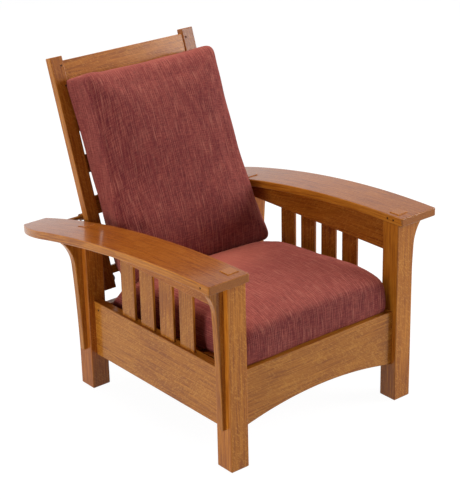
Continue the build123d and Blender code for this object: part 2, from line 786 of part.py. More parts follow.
def cushion_levels(base_rise, base_insets, shoulder, crown, reaches):
    """Heights, insets from the sides and both ends, and how far the sides are drawn in."""
    levels = []
    for step in range(base_steps):
        turn = radians(quarter_turn * step / base_steps)
        insets = [inset * (1 - sin(turn)) for inset in base_insets]
        levels.append((base_rise * (1 - cos(turn)), insets, cushion_draw))
    for step in range(crown_steps + 1):
        turn = radians(crown_turn * step / crown_steps)
        swell = (1 - cos(turn)) ** crown_softness
        insets = [reach * swell for reach in reaches]
        drawn = cushion_draw - (cushion_draw + cushion_bulge) * sin(turn) ** 2
        levels.append((shoulder + crown * sin(turn), insets, drawn))
    return levels


def cushion_outline(half, bottom, top, corner, drawn):
    """Corner arcs joined by long arcs, whose middles stand in from the corners."""
    bevel = corner * (1 - sqrt(1 / 2))
    middle = (bottom + top) / 2
    ThreePointArc((half, bottom + corner), (half - drawn, middle), (half, top - corner))
    ThreePointArc((half, top - corner), (half - bevel, top - bevel), (half - corner, top))
    ThreePointArc((half - corner, top), (0, top - drawn), (corner - half, top))
    ThreePointArc((corner - half, top), (bevel - half, top - bevel), (-half, top - corner))
    ThreePointArc((-half, top - corner), (drawn - half, middle), (-half, bottom + corner))
    ThreePointArc((-half, bottom + corner), (bevel - half, bottom + bevel), (corner - half, bottom))
    ThreePointArc((corner - half, bottom), (0, bottom + drawn), (half - corner, bottom))
    ThreePointArc((half - corner, bottom), (half - bevel, bottom + bevel), (half, bottom + corner))


seat_half = post_inner - seat_cushion_side_gap
seat_length = deck_length - seat_cushion_rear_gap + seat_cushion_overhang
seat_reaches = [share * size for share, size in zip(seat_crown_shares, (seat_half, seat_length, seat_length))]
seat_levels = cushion_levels(seat_base_rise, seat_base_insets, seat_shoulder, seat_crown, seat_reaches)
with BuildPart() as seat_cushion:
    for height, (side_in, low_in, high_in), drawn in seat_levels:
        with BuildSketch(deck_plane.offset(cushion_clearance + height)):
            with BuildLine():
                cushion_outline(
                    seat_half - side_in,
                    low_in - seat_cushion_overhang,
                    deck_length - seat_cushion_rear_gap - high_in,
                    seat_cushion_corner,
                    drawn,
                )
            make_face()
    loft(ruled=True)
deliver(seat_cushion, "seat_cushion")

back_half = stile_outer - back_cushion_side_inset
back_bottom = back_cushion_foot - stile_foot
back_top = stile_top - back_cushion_top_drop
back_length = back_top - back_bottom
back_reaches = [share * size for share, size in zip(back_crown_shares, (back_half, back_length, back_length))]
back_levels = cushion_levels(back_base_rise, back_base_insets, back_shoulder, back_crown, back_reaches)
with BuildPart() as back_cushion:
    for height, (side_in, low_in, high_in), drawn in back_levels:
        with BuildSketch(back_plane.offset(back_front + pin_stand + cushion_clearance + height)):
            with BuildLine():
                cushion_outline(
                    back_half - side_in,
                    back_bottom + low_in,
                    back_top - high_in,
                    back_cushion_corner,
                    drawn,
                )
            make_face()
    loft(ruled=True)
deliver(back_cushion, "back_cushion")

recline_range = (peg_hole_count - 1) * recline_step
print("pivot", pivot_y, pivot_height, "recline range", recline_range)
print("peg holes", peg_holes, "deck angle", deck_angle)
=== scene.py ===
import math

import bpy
from mathutils import Matrix, Vector, noise
from mathutils.bvhtree import BVHTree


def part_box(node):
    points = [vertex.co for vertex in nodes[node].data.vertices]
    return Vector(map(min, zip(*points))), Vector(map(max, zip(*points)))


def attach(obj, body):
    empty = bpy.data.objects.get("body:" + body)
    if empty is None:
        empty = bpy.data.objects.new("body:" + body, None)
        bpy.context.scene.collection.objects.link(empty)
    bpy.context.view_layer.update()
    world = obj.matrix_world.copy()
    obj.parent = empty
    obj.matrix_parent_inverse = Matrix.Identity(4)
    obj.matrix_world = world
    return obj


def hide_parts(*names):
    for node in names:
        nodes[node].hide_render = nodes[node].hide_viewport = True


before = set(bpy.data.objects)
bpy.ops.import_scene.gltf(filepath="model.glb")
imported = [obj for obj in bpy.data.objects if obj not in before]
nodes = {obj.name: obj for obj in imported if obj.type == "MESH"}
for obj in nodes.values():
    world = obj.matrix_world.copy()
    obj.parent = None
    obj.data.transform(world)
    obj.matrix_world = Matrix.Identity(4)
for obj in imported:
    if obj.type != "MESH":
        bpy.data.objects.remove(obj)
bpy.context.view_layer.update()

# The camera, as fitted to the picture: its place in metres, its axes and its lens
CAMERA_PLACE = (-2.66579, -3.36127, 2.23016)
CAMERA_RIGHT = (0.77173, -0.63561, -0.02094)
CAMERA_UP = (0.26123, 0.2868, 0.92169)
CAMERA_FORWARD = (0.57982, 0.71676, -0.38737)
CAMERA_LENS = 109.68
SENSOR = 36.0

# Places of the chair that the looks follow, in metres and degrees
ARM_RADIUS = 3.73
FRONT_POSTS_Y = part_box("front_post_left")[0].y
BACK_LEAN = 18.0
DECK_FALL = 4.24
PIVOT = Vector((0, 0.23625, 0.327))
STILE_FRONT = 0.0144


def linear(red, green, blue):
    """A colour of the screen, 0 to 255, as the linear values that Blender's sockets take."""
    shares = [value / 255 for value in (red, green, blue)]
    return tuple(s / 12.92 if s <= 0.04045 else ((s + 0.055) / 1.055) ** 2.4 for s in shares) + (1.0,)


# Sockets of the Mix node for colours and for vectors: factor, first, second and result
MIX_COLOURS = (0, 6, 7, 2)
MIX_VECTORS = (0, 4, 5, 1)


class Nodes:
    """A short way to write the node tree of a material or a world."""

    def __init__(self, owner, shader="Principled BSDF"):
        self.owner = owner
        owner.use_nodes = True
        self.tree = owner.node_tree
        self.shader = self.tree.nodes[shader]

    def put(self, socket, value):
        """Link a socket, or set a plain value."""
        if isinstance(value, bpy.types.NodeSocket):
            self.tree.links.new(value, socket)
        else:
            socket.default_value = value

    def shade(self, values):
        """Set or link the shader's own sockets."""
        for key, value in values.items():
            self.put(self.shader.inputs[key], value)

    def add(self, kind, inputs=(), **settings):
        node = self.tree.nodes.new(kind)
        for key, value in settings.items():
            setattr(node, key, value)
        for key, value in dict(inputs).items():
            self.put(node.inputs[key], value)
        return node

    def coordinates(self, kind="Object"):
        return self.add("ShaderNodeTexCoord").outputs[kind]

    def split(self, vector):
        return self.add("ShaderNodeSeparateXYZ", {"Vector": vector}).outputs

    def join(self, **parts):
        return self.add("ShaderNodeCombineXYZ", parts).outputs[0]

    def vector_math(self, operation, first, second, result=0):
        return self.add("ShaderNodeVectorMath", {0: first, 1: second}, operation=operation).outputs[result]

    def math(self, operation, *values, clamp=False):
        node = self.add("ShaderNodeMath", operation=operation, use_clamp=clamp)
        for socket, value in zip(node.inputs, values):
            self.put(socket, value)
        return node.outputs[0]

    def total(self, *parts):
        """The sum of (value, weight) parts."""
        first, *others = [self.math("MULTIPLY", value, weight) for value, weight in parts]
        for other in others:
            first = self.math("ADD", first, other)
        return first

    def swing(self, value, reach):
        """A value from 0 to 1, made to swing about 0."""
        return self.math("MULTIPLY", self.math("SUBTRACT", value, 0.5), reach)

    def mapping(self, vector, location=(0, 0, 0), rotation=(0, 0, 0), scale=(1, 1, 1)):
        turn = [math.radians(angle) for angle in rotation]
        inputs = {"Vector": vector, "Location": location, "Rotation": turn, "Scale": scale}
        return self.add("ShaderNodeMapping", inputs).outputs[0]

    def noise(self, vector, scale=(1, 1, 1), location=(0, 0, 0), detail=2.0, roughness=0.5, distortion=0.0):
        """Noise with its own number of lumps per metre along each axis."""
        inputs = {
            "Vector": self.mapping(vector, location=location, scale=scale), "Scale": 1.0,
            "Detail": detail, "Roughness": roughness, "Distortion": distortion,
        }
        return self.add("ShaderNodeTexNoise", inputs).outputs["Fac"]

    def ramp(self, factor, stops, interpolation="LINEAR"):
        """A colour ramp from (place, colour or grey) pairs."""
        node = self.add("ShaderNodeValToRGB", {"Fac": factor})
        node.color_ramp.interpolation = interpolation
        while len(node.color_ramp.elements) < len(stops):
            node.color_ramp.elements.new(0.5)
        for element, (place, colour) in zip(node.color_ramp.elements, stops):
            element.position = place
            element.color = (colour, colour, colour, 1) if isinstance(colour, (int, float)) else colour
        return node.outputs["Color"]

    def mixed(self, node, sockets, values):
        *inputs, result = sockets
        for socket, value in zip(inputs, values):
            self.put(node.inputs[socket], value)
        return node.outputs[result]

    def mix(self, factor, first, second, blend="MIX"):
        node = self.add("ShaderNodeMix", data_type="RGBA", blend_type=blend)
        return self.mixed(node, MIX_COLOURS, (factor, first, second))

    def choose(self, factor, first, second):
        """The first vector where the factor is 0, and the second where it is 1."""
        node = self.add("ShaderNodeMix", data_type="VECTOR")
        return self.mixed(node, MIX_VECTORS, (factor, first, second))

    def tint(self, colour, tint):
        return self.mix(1.0, colour, (*tint, 1), blend="MULTIPLY")

    def bump(self, height, strength, distance, normal=None):
        inputs = {"Height": height, "Strength": strength, "Distance": distance}
        if normal is not None:
            inputs["Normal"] = normal
        return self.add("ShaderNodeBump", inputs).outputs[0]


# Oak

OAK_DARK = linear(142, 76, 20)
OAK_MIDDLE = linear(174, 105, 30)
OAK_LIGHT = linear(194, 124, 42)
OAK_FLECK = linear(214, 150, 66)
OAK_PORE = linear(96, 46, 15)
OAK_END = linear(150, 88, 36)
# paler edges: partly wear, partly a painted highlight
OAK_PALE_EDGE = linear(204, 140, 70)
PIN_DARK = linear(50, 26, 12)
PIN_LIGHT = linear(104, 60, 28)

# Lumps of the oak's pattern per metre: across the board, along its grain and into it
WANDER_SCALE = (9, 2.2, 9)
GROWTH_SCALE = (210, 7, 210)
FINE_SCALE = (760, 26, 760)
CLOUD_SCALE = (9, 4, 9)
RAY_SCALE = (80, 250, 110)
RAY_PATCH_SCALE = (16, 9, 16)
PORE_SCALE = (1300, 60, 1300)
END_PORE_SCALE = (1100, 1100, 1100)
PIN_SCALE = (900, 900, 900)

WANDER_REACH = 0.02
RAY_SLANT = 48
RAY_PATCHES = 0.35
EDGE_ROUND_RADIUS = 0.0022
GRAIN_RELIEF = 0.0003

# How strongly each layer covers the wood under it
RAYS_SHOW = 0.42
END_SHOWS = 0.7
PORES_SHOW = 0.3
PALE_EDGE_SHOWS = 0.35

OAK_FINISH = {"Specular IOR Level": 0.08, "Coat Weight": 0.5, "Coat Roughness": 0.14, "Coat IOR": 1.42}


def straightened(n, place):
    """Take the arms' bow out of a place, so that the grain follows it."""
    x, y, z = n.split(place)
    run = n.math("SUBTRACT", y, FRONT_POSTS_Y)
    drop = n.math("DIVIDE", n.math("MULTIPLY", run, run), 2 * ARM_RADIUS)
    return n.join(X=x, Y=y, Z=n.math("ADD", z, drop))


def oak(name, grain="Z", wide="Y", lean=0.0, arc=False, offset=0.0, tint=(1, 1, 1), painted_wide_shade=None, fleck=1.0):
    """Quarter-sawn oak. Grain runs along one axis, rays show on the faces that look along the wide axis."""
    n = Nodes(bpy.data.materials.new(name))
    place = n.coordinates()
    facing = n.coordinates("Normal")
    if arc:
        place = straightened(n, place)
    if lean:
        place = n.mapping(place, rotation=(lean, 0, 0))
        facing = n.mapping(facing, rotation=(lean, 0, 0))
    parts = n.split(n.mapping(place, location=(offset, offset * 0.7, offset * 1.3)))
    faces = n.split(facing)
    across = [axis for axis in "XYZ" if axis not in (grain, wide)][0]
    # across the wide face, along the grain, and into the board
    board = n.join(X=parts[across], Y=parts[grain], Z=parts[wide])
    on_wide = n.ramp(n.math("ABSOLUTE", faces[wide]), [(0.75, 0.0), (0.9, 1.0)])
    on_end = n.ramp(n.math("ABSOLUTE", faces[grain]), [(0.72, 0.0), (0.86, 1.0)])
    sway = n.swing(n.noise(board, WANDER_SCALE, detail=3), WANDER_REACH)
    wandered = n.vector_math("ADD", board, n.join(X=sway, Z=sway))
    growth = n.noise(wandered, GROWTH_SCALE, detail=3, roughness=0.55)
    fine = n.noise(wandered, FINE_SCALE, roughness=0.6)
    cloud = n.noise(board, CLOUD_SCALE)
    tone = n.total((growth, 0.55), (fine, 0.25), (cloud, 0.2))
    colour = n.ramp(tone, [(0.38, OAK_DARK), (0.5, OAK_MIDDLE), (0.62, OAK_LIGHT)])
    # ray fleck: short slanting ribbons that come in patches
    slanting = n.mapping(wandered, rotation=(0, 0, RAY_SLANT))
    ribbon = n.noise(slanting, RAY_SCALE, detail=1.5, roughness=0.4, distortion=1.1)
    patches = n.swing(n.noise(board, RAY_PATCH_SCALE), RAY_PATCHES)
    ribbon = n.ramp(n.math("ADD", ribbon, patches), [(0.53, 0.0), (0.65, 1.0)])
    rays = n.math("MULTIPLY", n.math("MULTIPLY", ribbon, on_wide), RAYS_SHOW * fleck)
    colour = n.mix(rays, colour, OAK_FLECK)
    # open pores: short dark dashes along the grain, and dots where the board is cut across
    dashes = n.ramp(n.noise(wandered, PORE_SCALE, detail=1), [(0.3, 1.0), (0.4, 0.0)])
    dots = n.ramp(n.noise(board, END_PORE_SCALE, detail=1), [(0.34, 1.0), (0.44, 0.0)])
    pores = n.mix(on_end, dashes, dots)
    colour = n.mix(n.math("MULTIPLY", on_end, END_SHOWS), colour, OAK_END)
    colour = n.mix(n.math("MULTIPLY", pores, PORES_SHOW), colour, OAK_PORE)
    # edges painted a little paler, where the rounded normal leaves the face's own: partly wear, partly a
    # painted highlight on the eased edges
    edge = n.add("ShaderNodeBevel", {"Radius": EDGE_ROUND_RADIUS}, samples=4).outputs[0]
    true_normal = n.add("ShaderNodeNewGeometry").outputs["Normal"]
    agree = n.vector_math("DOT_PRODUCT", edge, true_normal, result="Value")
    pale_edge = n.ramp(agree, [(0.86, 1.0), (0.985, 0.0)])
    colour = n.mix(n.math("MULTIPLY", pale_edge, PALE_EDGE_SHOWS), colour, OAK_PALE_EDGE)
    colour = n.tint(colour, tint)
    # painted shade: a second tint darkens the wide faces, standing in for less light falling there
    if painted_wide_shade:
        colour = n.mix(on_wide, colour, n.tint(colour, painted_wide_shade))
    relief = n.math("SUBTRACT", n.math("MULTIPLY", fine, 0.4), pores)
    n.shade({
        "Base Color": colour,
        "Roughness": n.ramp(n.math("ADD", fine, pores), [(0.2, 0.34), (0.9, 0.46)]),
        "Normal": n.bump(relief, 0.16, GRAIN_RELIEF, normal=edge),
        **OAK_FINISH,
    })
    return n.owner


# Each family of pieces: the axes that its grain and its wide faces follow, the lean of those in the
# back, how much fleck it shows, and two tints. The first is for the whole piece, as boards and their
# stain differ, and is also painted shade on the rear posts and arm rails. The second is painted shade
# on wide faces only, the arms' tops and the stiles' fronts
WOOD = {
    "front_post": dict(grain="Z", wide="Y", tint=(1.08, 1.05, 0.98)),
    # painted shade: the rear posts and the arm rails are tinted darker and redder, as they stand in shade
    "rear_post": dict(grain="Z", wide="Y", tint=(0.92, 0.78, 0.74)),
    "arm_rail": dict(grain="Y", wide="X", arc=True, tint=(0.9, 0.8, 0.74)),
    # painted shade on the arms' tops, darker and redder
    "arm_left": dict(grain="Y", wide="Z", arc=True, painted_wide_shade=(0.62, 0.47, 0.38)),
    "arm_right": dict(grain="Y", wide="Z", arc=True, painted_wide_shade=(0.62, 0.49, 0.4)),
    "front_corbel": dict(grain="Z", wide="Y", fleck=0.4),
    "rear_corbel": dict(grain="Z", wide="Y", fleck=0.4),
    "side_rail": dict(grain="Y", wide="X"),
    "side_slat": dict(grain="Z", wide="X", tint=(0.88, 0.85, 0.82)),
    "front_rail": dict(grain="X", wide="Y"),
    "rear_rail": dict(grain="X", wide="Y", fleck=0.3),
    "seat_cleat": dict(grain="Y", wide="X", fleck=0.0, tint=(0.9, 0.88, 0.86)),
    "seat_runner": dict(grain="Y", wide="X", fleck=0.0, tint=(0.9, 0.88, 0.86)),
    "seat_slat": dict(grain="X", wide="Z", fleck=0.3, tint=(0.95, 0.94, 0.92)),
    # painted shade on the stiles' fronts, where the back cushion shades them
    "back_stile": dict(grain="Z", wide="Y", lean=BACK_LEAN, painted_wide_shade=(0.66, 0.56, 0.52)),
    "back_top_rail": dict(grain="X", wide="Y", lean=BACK_LEAN),
    "back_foot_rail": dict(grain="X", wide="Y", lean=BACK_LEAN),
    "back_slat": dict(grain="X", wide="Y", lean=BACK_LEAN, tint=(0.8, 0.72, 0.68)),
    "adjusting_peg": dict(grain="X", wide="Y", fleck=0.0, tint=(0.8, 0.76, 0.72)),
    "pivot_spacer": dict(grain="X", wide="Y", fleck=0.0, tint=(0.8, 0.76, 0.72)),
}


def dark_end_grain():
    """Pins and plugs: end grain that has drunk more stain."""
    n = Nodes(bpy.data.materials.new("oak_end_grain"))
    specks = n.noise(n.coordinates(), PIN_SCALE)
    n.shade({
        "Base Color": n.ramp(specks, [(0.35, PIN_DARK), (0.7, PIN_LIGHT)]),
        "Roughness": 0.5,
        "Specular IOR Level": 0.1,
        "Normal": n.bump(specks, 0.3, GRAIN_RELIEF),
    })
    return n.owner


STEEL_DARK = linear(96, 90, 82)
STEEL_LIGHT = linear(150, 144, 134)
STEEL_SCALE = (400, 400, 400)


def steel():
    """Dull steel of bolts and screws."""
    n = Nodes(bpy.data.materials.new("steel"))
    wear = n.noise(n.coordinates(), STEEL_SCALE, detail=3)
    n.shade({
        "Base Color": n.ramp(wear, [(0.3, STEEL_DARK), (0.7, STEEL_LIGHT)]),
        "Roughness": n.ramp(wear, [(0.3, 0.32), (0.7, 0.5)]),
        "Metallic": 1.0,
    })
    return n.owner


TONES = 11
TONE_STEP = 7
TONE_LOW = 0.94
TONE_SPREAD = 0.12
BOARD_SHIFT = 0.37


def dress_cad():
    """Every wooden and steel node gets its material, and each board its own tone and part of the grain."""
    end_grain, metal = dark_end_grain(), steel()
    for number, (name, piece) in enumerate(sorted(nodes.items())):
        if name.endswith("cushion"):
            continue
        if name.endswith(("pins", "plugs")):
            material = end_grain
        elif name.startswith("pivot_bolt") or name.endswith("screws"):
            material = metal
        else:
            family = max((key for key in WOOD if name.startswith(key)), key=len)
            shade = TONE_LOW + TONE_SPREAD * (number * TONE_STEP % TONES) / (TONES - 1)
            options = dict(WOOD[family])
            options["tint"] = [shade * part for part in options.get("tint", (1, 1, 1))]
            material = oak(f"oak_{name}", offset=BOARD_SHIFT * (number + 1), **options)
        piece.data.materials.clear()
        piece.data.materials.append(material)


# Fabric

FABRIC_DEEP = linear(96, 40, 44)
FABRIC_WINE = linear(121, 52, 53)
FABRIC_ROSE = linear(146, 74, 66)
FABRIC_SLUB = linear(214, 138, 116)
FABRIC_SHADOW = linear(76, 32, 36)
FABRIC_SHEEN = linear(235, 140, 118)
# painted light on faces that look up and on a pool of the seat
FABRIC_LIT = linear(198, 108, 88)

# Lumps of the threads per metre: across the warp and along it
WARP_SCALE = (340, 16, 1)
WEFT_SCALE = (36, 330, 1)
CLOTH_CLOUD_SCALE = (11, 8, 1)
GATHER_SCALE = (30, 7, 1)
LONG_SLUB_SCALE = (310, 13, 1)
SHORT_SLUB_SCALE = (400, 34, 1)
DARK_THREAD_SCALE = (330, 15, 1)
THREAD_SCALE = (190, 15, 1)
BAND_SCALE = 46.0
WEAVE_SCALE = 95.0

GATHER_REACH = 0.04
BORDER_SHIFT = 3.0
SLUBS_SHOW = 0.34
DARK_SHOWS = 0.34
WEAVE_RELIEF = 0.0007

# Centre of the pool of painted light on the seat
SEAT_LIGHT_POOL = (-0.03, 0.04, 0.43)

FABRIC_FINISH = {
    "Roughness": 0.9, "Specular IOR Level": 0.15,
    "Sheen Weight": 0.45, "Sheen Roughness": 0.45, "Sheen Tint": FABRIC_SHEEN,
}


def flat_cloth(n, lean, border_run):
    """Lay the cloth out flat: its warp runs along Y, over the panel and along the border of the sides."""
    x, y, z = n.split(n.mapping(n.coordinates(), rotation=(lean, 0, 0)))
    facing_x = n.split(n.coordinates("Normal"))["X"]
    on_side = n.ramp(n.math("ABSOLUTE", facing_x), [(0.7, 0.0), (0.84, 1.0)])
    panel = n.join(X=x, Y=n.math("ADD", y, z))
    run, across = (z, y) if border_run == "Z" else (y, z)
    border = n.join(X=n.math("ADD", across, BORDER_SHIFT), Y=run)
    return n.choose(on_side, panel, border)


def fabric(name, lean, border_run, light_pool=None):
    """Heavy slubbed cloth. Its slubs run up the back, and front to back over the seat and down its front."""
    n = Nodes(bpy.data.materials.new(name))
    cloth = flat_cloth(n, lean, border_run)

    def threads(scale, shift):
        """Noise that is long along the warp, from a part of the pattern of its own."""
        return n.noise(cloth, scale, location=(shift, 0, 0), detail=1)

    def wave(direction, inputs):
        node = n.add("ShaderNodeTexWave", {"Vector": cloth, **inputs}, bands_direction=direction)
        return node.outputs["Fac"]

    # the threads' own unevenness, along the warp and across it
    warp_tone = n.noise(cloth, WARP_SCALE, roughness=0.6)
    weft_tone = n.noise(cloth, WEFT_SCALE, roughness=0.6)
    cloud = n.noise(cloth, CLOTH_CLOUD_SCALE, detail=3, roughness=0.6)
    tone = n.total((warp_tone, 0.4), (weft_tone, 0.46), (cloud, 0.14))
    colour = n.ramp(tone, [(0.4, FABRIC_DEEP), (0.5, FABRIC_WINE), (0.6, FABRIC_ROSE)])
    # pale slubs, some long and some short, that gather in places
    gather = n.swing(n.noise(cloth, GATHER_SCALE, detail=1), GATHER_REACH)
    long_slubs = n.ramp(n.math("ADD", threads(LONG_SLUB_SCALE, 5), gather), [(0.59, 0.0), (0.7, 1.0)])
    short_slubs = n.ramp(n.math("ADD", threads(SHORT_SLUB_SCALE, 9), gather), [(0.6, 0.0), (0.72, 1.0)])
    pale = n.math("MAXIMUM", long_slubs, n.math("MULTIPLY", short_slubs, 0.7))
    # thin pale threads side by side, that come and go, and dark ones between them
    bands = wave("X", {"Scale": BAND_SCALE, "Distortion": 3.0, "Detail": 1.0, "Detail Scale": 9.0})
    shown = n.ramp(threads(THREAD_SCALE, 17), [(0.38, 0.0), (0.58, 1.0)])
    thin = n.math("MULTIPLY", n.ramp(bands, [(0.72, 0.0), (0.98, 1.0)]), shown)
    pale = n.math("MAXIMUM", pale, n.math("MULTIPLY", thin, 0.8))
    dark = n.ramp(threads(DARK_THREAD_SCALE, 13), [(0.6, 0.0), (0.7, 1.0)])
    colour = n.mix(n.math("MULTIPLY", dark, DARK_SHOWS), colour, FABRIC_SHADOW)
    # painted light: faces that look up are painted paler, and the seat has a painted pool of light near the
    # back's foot
    painted_light = n.ramp(n.split(n.coordinates("Normal"))["Z"], [(0.3, 0.0), (1.0, 0.2)])
    if light_pool:
        away = n.vector_math("DISTANCE", n.coordinates(), light_pool, result="Value")
        painted_light = n.math("ADD", painted_light, n.ramp(away, [(0.06, 0.5), (0.27, 0.0)], interpolation="EASE"))
    colour = n.mix(painted_light, colour, FABRIC_LIT)
    colour = n.mix(n.math("MULTIPLY", pale, SLUBS_SHOW), colour, FABRIC_SLUB)
    weave = n.math("MULTIPLY", *[wave(way, {"Scale": WEAVE_SCALE, "Distortion": 0.5}) for way in "XY"])
    uneven = n.math("ADD", n.math("MULTIPLY", tone, 0.8), pale)
    relief = n.math("ADD", n.math("MULTIPLY", weave, 0.6), uneven)
    n.shade({"Base Color": colour, "Normal": n.bump(relief, 0.4, WEAVE_RELIEF), **FABRIC_FINISH})
    return n.owner


# Cushions. Each lies on a plane: a place on it is its X, its run along the plane, and its height off it

# The size of a cover's quads, the round of its upright edges, and how far its sides are drawn in at
# the seam and bulge at the shoulder. The higher DRAW_HOLD, the nearer to the rim that stays
GRID = 0.0078
CORNER = 0.012
SIDE_DRAW = 0.004
SIDE_BULGE = 0.014
DRAW_HOLD = 8
BASE_STEPS = 30
CROWN_STEPS = 60

# The simulation: how small the cover starts, its pressure and its cloth, then how far what comes out of
# it may stand off the form or fall short of it
START_SCALE = 0.97
PRESSURE = 4.0
STIFFNESS = 15
BENDING = 0.8
LAST_FRAME = 20
PUFF_CAP = 0.014
DRAW_CAP = 0.003

# Slow unevenness of the covers, their smoothing and their seams. Blender seeds its noise from the clock
# until it is given a seed
SWAY = 0.003
SWAY_SCALE = 9
SWAY_SEED = 1
SMOOTHING = 3
SEAM_RADIUS = 0.0019
SEAM_SIDES = 6
PUCKER = 0.12
PUCKER_TURN = 2.1

# How near the upper cushion may come to the lower one, and how deep it can press it
PRESS_GAP = 0.001
PRESS_DEPTH = 0.06

# Lengths of the covers in metres: half the width, the two ends of the run, the heights of the base's
# round, the shoulder and the crown, and how far the base and the crown come in at the sides, at the low
# end and at the high end. turn is the angle at which the crown's edge stops, in degrees
SEAT = {
    "half": 0.280, "low": -0.021, "high": 0.639,
    "base_rise": 0.040, "base_insets": (0.006, 0.008, 0.010), "shoulder": 0.070, "crown": 0.077,
    "reaches": (0.120, 0.300, 0.560), "softness": 1.5, "turn": 70.0, "dome": 0.007, "crown_corner": 0.05,
}
BACK = {
    "half": 0.248, "low": 0.012, "high": 0.630,
    "base_rise": 0.040, "base_insets": (0.004, 0.014, 0.002), "shoulder": 0.108, "crown": 0.037,
    "reaches": (0.045, 0.045, 0.052), "softness": 1.0, "turn": 72.0, "dome": 0.014, "crown_corner": 0.012,
}


def between(value, stops):
    """A value read from a smooth line through (place, value) stops."""
    if value <= stops[0][0]:
        return stops[0][1]
    for (low, start), (high, finish) in zip(stops, stops[1:]):
        if value <= high:
            share = (value - low) / (high - low)
            return start + (finish - start) * share * share * (3 - 2 * share)
    return stops[-1][1]


SEAT_SLUMP = 0.062
SEAT_FULL = 0.045
SEAT_SUNK = 0.03
SEAT_SIDES_SUNK = 0.07


def warp_seat(x, run, height):
    """How the seat cushion departs from a regular form: a slumped rear, and sides that are full in front."""
    share = (run - SEAT["low"]) / (SEAT["high"] - SEAT["low"])
    slump = SEAT_SLUMP * between(height, [(0, 0.0), (0.1, 1.0)]) * between(share, [(0.62, 0.0), (1, 1.0)])
    outer = (x / SEAT["half"]) ** 2
    full = 1 + SEAT_FULL * outer * between(share, [(0.05, 0.0), (0.2, 1.0), (0.5, 1.0), (0.7, 0.0)])
    sunk = 1 - (SEAT_SUNK + SEAT_SIDES_SUNK * outer) * between(share, [(0.6, 0.0), (0.85, 1.0)])
    return x, run - slump, height * full * sunk


BACK_PEAK = 0.006
PEAK_PLACE = 0.215
PEAK_WIDTH = 0.035
BACK_SLANT = 0.029


def warp_back(x, run, height):
    """How the back cushion departs from a regular form: narrow at its seam, full at its foot, peaked."""
    share = (run - BACK["low"]) / (BACK["high"] - BACK["low"])
    front = between(height, [(0, 0.0), (0.12, 1.0)])
    rear_half = between(share, [(0, 0.231), (1, 0.246)])
    front_half = between(share, [(0, 0.287), (0.22, 0.266), (0.5, 0.2545), (0.75, 0.250), (1, 0.250)])
    half = rear_half + (front_half - rear_half) * front
    middle = between(share, [(0, 0.009), (1, 0.003)])
    thickness = between(share, [(0, 1.16), (0.5, 1.04), (1, 1.0)])
    peak = math.exp(-((abs(x) - PEAK_PLACE) / PEAK_WIDTH) ** 2) * front
    peak *= between(share, [(0.85, 0.0), (1, BACK_PEAK)])
    slant = BACK_SLANT * front * between(share, [(0, 1.0), (0.25, 0.0)])
    return middle + x * half / BACK["half"], run + peak - slant, height * thickness


def profile(cushion, count):
    """Evenly spaced levels up the border and over the crown's edge: height, insets and the sides' draw."""
    levels = []
    for step in range(BASE_STEPS + 1):
        turn = math.radians(90 * step / BASE_STEPS)
        insets = [inset * (1 - math.sin(turn)) for inset in cushion["base_insets"]]
        levels.append((cushion["base_rise"] * (1 - math.cos(turn)), insets, SIDE_DRAW))
    for step in range(CROWN_STEPS + 1):
        turn = math.radians(cushion["turn"] * step / CROWN_STEPS)
        insets = [reach * (1 - math.cos(turn)) ** cushion["softness"] for reach in cushion["reaches"]]
        drawn = SIDE_DRAW - (SIDE_DRAW + SIDE_BULGE) * math.sin(turn) ** 2
        levels.append((cushion["shoulder"] + cushion["crown"] * math.sin(turn), insets, drawn))
    lengths = [0.0]
    for (low, low_in, _), (high, high_in, _) in zip(levels, levels[1:]):
        lengths.append(lengths[-1] + math.hypot(high - low, high_in[0] - low_in[0]))
    picked = []
    for step in range(count + 1):
        aim = lengths[-1] * step / count
        at = min(max(i for i, length in enumerate(lengths) if length <= aim + 1e-9), len(levels) - 2)
        share = (aim - lengths[at]) / (lengths[at + 1] - lengths[at])
        (low, low_in, low_draw), (high, high_in, high_draw) = levels[at], levels[at + 1]
        picked.append((
            low + (high - low) * share,
            [a + (b - a) * share for a, b in zip(low_in, high_in)],
            low_draw + (high_draw - low_draw) * share,
        ))
    return picked


def rim_place(a, b, cushion, insets, drawn, corner):
    """Carry a point of the unit square's rim to an outline with rounded corners and drawn-in sides."""
    half = cushion["half"] - insets[0]
    low, high = cushion["low"] + insets[1], cushion["high"] - insets[2]
    middle, reach = (low + high) / 2, (high - low) / 2
    x, run = a * half, b * reach
    over_x, over_run = abs(x) - (half - corner), abs(run) - (reach - corner)
    if over_x > 0 and over_run > 0:
        pull = corner / math.hypot(over_x, over_run)
        x = math.copysign(half - corner + over_x * pull, x)
        run = math.copysign(reach - corner + over_run * pull, run)
    x -= math.copysign(drawn * (1 - (run / reach) ** 2), x) * abs(a) ** DRAW_HOLD
    run -= math.copysign(drawn * (1 - (x / half) ** 2), run) * abs(b) ** DRAW_HOLD
    return x, middle + run


